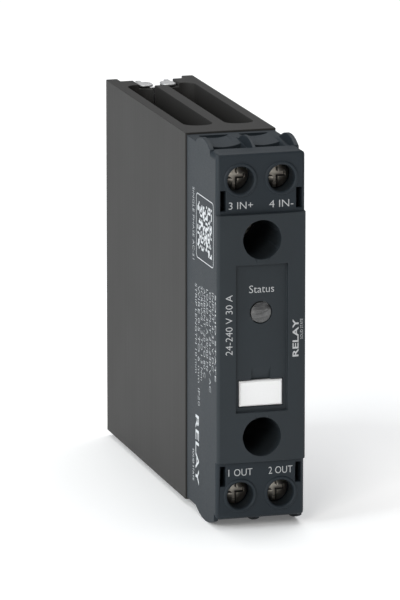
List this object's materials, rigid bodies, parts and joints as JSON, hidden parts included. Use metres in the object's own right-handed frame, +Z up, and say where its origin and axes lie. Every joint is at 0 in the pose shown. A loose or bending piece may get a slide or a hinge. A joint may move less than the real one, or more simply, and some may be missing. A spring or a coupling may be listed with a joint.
{
  "type": "solid state relay",
  "caption": "Slim solid state relay on its own finned heat sink, with clamp terminals at top and bottom, a status lens, a write-on tag and a sprung clip for a 35 mm rail.",
  "frame": {"origin": "middle of the plane where the front of the rail's lips lies, halfway up the heat sink and halfway across it", "axes": "+X to the right seen from the front, +Y to the back, towards the rail, +Z up"},
  "size_m": [0.0226, 0.1016, 0.0926],
  "materials": {
    "anodised_aluminium": "dark grey anodised, satin, faint die lines along the height",
    "thermal_pad": "matt grey filled silicone sheet",
    "nickel_plate": "nickel plated, satin",
    "dark_nickel": "dark nickel plated, semi gloss",
    "zinc_steel": "clear zinc plated, satin",
    "bright_steel": "bright spring steel, satin",
    "spring_steel": "drawn wire, semi gloss",
    "case_plastic": "fine moulded texture, blue grey",
    "cover_plastic": "fine moulded texture, dark grey",
    "lens_plastic": "smoky clear plastic",
    "led_resin": "clear epoxy",
    "label_plastic": "smooth white",
    "alumina": "matt white ceramic",
    "copper": "bare copper",
    "silicon": "polished silicon",
    "tinned_copper": "tin plated, satin",
    "board_laminate": "green solder mask",
    "chip_resin": "matt black moulding resin",
    "capacitor_film": "yellow film box",
    "varistor_coat": "blue epoxy coat"
  },
  "bodies": {
    "relay": {"heat_sink": "anodised_aluminium", "thermal_pad": "thermal_pad", "base_plate": "nickel_plate", "mounting_screws": "dark_nickel", "mounting_washers": "zinc_steel", "case_body": "case_plastic", "front_cover": "cover_plastic", "status_lens": "lens_plastic", "status_led": "led_resin", "ceramic_substrate": "alumina", "copper_pads": "copper", "thyristor_chips": "silicon", "gate_pins": "tinned_copper", "control_board": "board_laminate", "optocoupler": "chip_resin", "trigger_chip": "chip_resin", "board_resistors": "chip_resin", "snubber_capacitor": "capacitor_film", "varistor": "varistor_coat", "terminal_nuts": "zinc_steel", "contact_bar_1": "tinned_copper", "contact_bar_2": "tinned_copper", "contact_bar_3": "tinned_copper", "contact_bar_4": "tinned_copper", "din_bracket": "zinc_steel", "bracket_screws": "zinc_steel", "latch_spring": "spring_steel"},
    "clamp_1": {"clamp_plate_1": "zinc_steel", "lock_washer_1": "zinc_steel"},
    "screw_1": {"terminal_screw_1": "dark_nickel"},
    "clamp_2": {"clamp_plate_2": "zinc_steel", "lock_washer_2": "zinc_steel"},
    "screw_2": {"terminal_screw_2": "dark_nickel"},
    "clamp_3": {"clamp_plate_3": "zinc_steel", "lock_washer_3": "zinc_steel"},
    "screw_3": {"terminal_screw_3": "dark_nickel"},
    "clamp_4": {"clamp_plate_4": "zinc_steel", "lock_washer_4": "zinc_steel"},
    "screw_4": {"terminal_screw_4": "dark_nickel"},
    "latch": {"din_latch": "bright_steel"},
    "label": {"marker_label": "label_plastic"}
  },
  "joints": [
    {"name": "clamp_1_press", "type": "slide", "parent": "relay", "child": "clamp_1", "axis": [0, 1, 0], "range_m": [0, 0.00435]},
    {"name": "screw_1_turn", "type": "hinge", "parent": "clamp_1", "child": "screw_1", "pos_m": [-0.005, -0.0932, -0.0381], "axis": [0, 1, 0], "range_deg": [0, 2610.1]},
    {"name": "clamp_2_press", "type": "slide", "parent": "relay", "child": "clamp_2", "axis": [0, 1, 0], "range_m": [0, 0.00435]},
    {"name": "screw_2_turn", "type": "hinge", "parent": "clamp_2", "child": "screw_2", "pos_m": [0.005, -0.0932, -0.0381], "axis": [0, 1, 0], "range_deg": [0, 2610.1]},
    {"name": "clamp_3_press", "type": "slide", "parent": "relay", "child": "clamp_3", "axis": [0, 1, 0], "range_m": [0, 0.00435]},
    {"name": "screw_3_turn", "type": "hinge", "parent": "clamp_3", "child": "screw_3", "pos_m": [-0.005, -0.0932, 0.0381], "axis": [0, 1, 0], "range_deg": [0, 2610.1]},
    {"name": "clamp_4_press", "type": "slide", "parent": "relay", "child": "clamp_4", "axis": [0, 1, 0], "range_m": [0, 0.00435]},
    {"name": "screw_4_turn", "type": "hinge", "parent": "clamp_4", "child": "screw_4", "pos_m": [0.005, -0.0932, 0.0381], "axis": [0, 1, 0], "range_deg": [0, 2610.1]},
    {"name": "latch_release", "type": "slide", "parent": "relay", "child": "latch", "axis": [0, 0, 1], "range_m": [0, 0.004], "stiffness_N_per_m": 400, "springref_m": -0.004, "deforming": ["latch_spring"]},
    {"name": "label_pull", "type": "slide", "parent": "relay", "child": "label", "axis": [0, -1, 0], "range_m": [0, 0.005]}
  ],
  "couplings": [
    {"joint": "screw_1_turn", "follows": "clamp_1_press", "rad_per_m": 10472},
    {"joint": "screw_2_turn", "follows": "clamp_2_press", "rad_per_m": 10472},
    {"joint": "screw_3_turn", "follows": "clamp_3_press", "rad_per_m": 10472},
    {"joint": "screw_4_turn", "follows": "clamp_4_press", "rad_per_m": 10472}
  ]
}
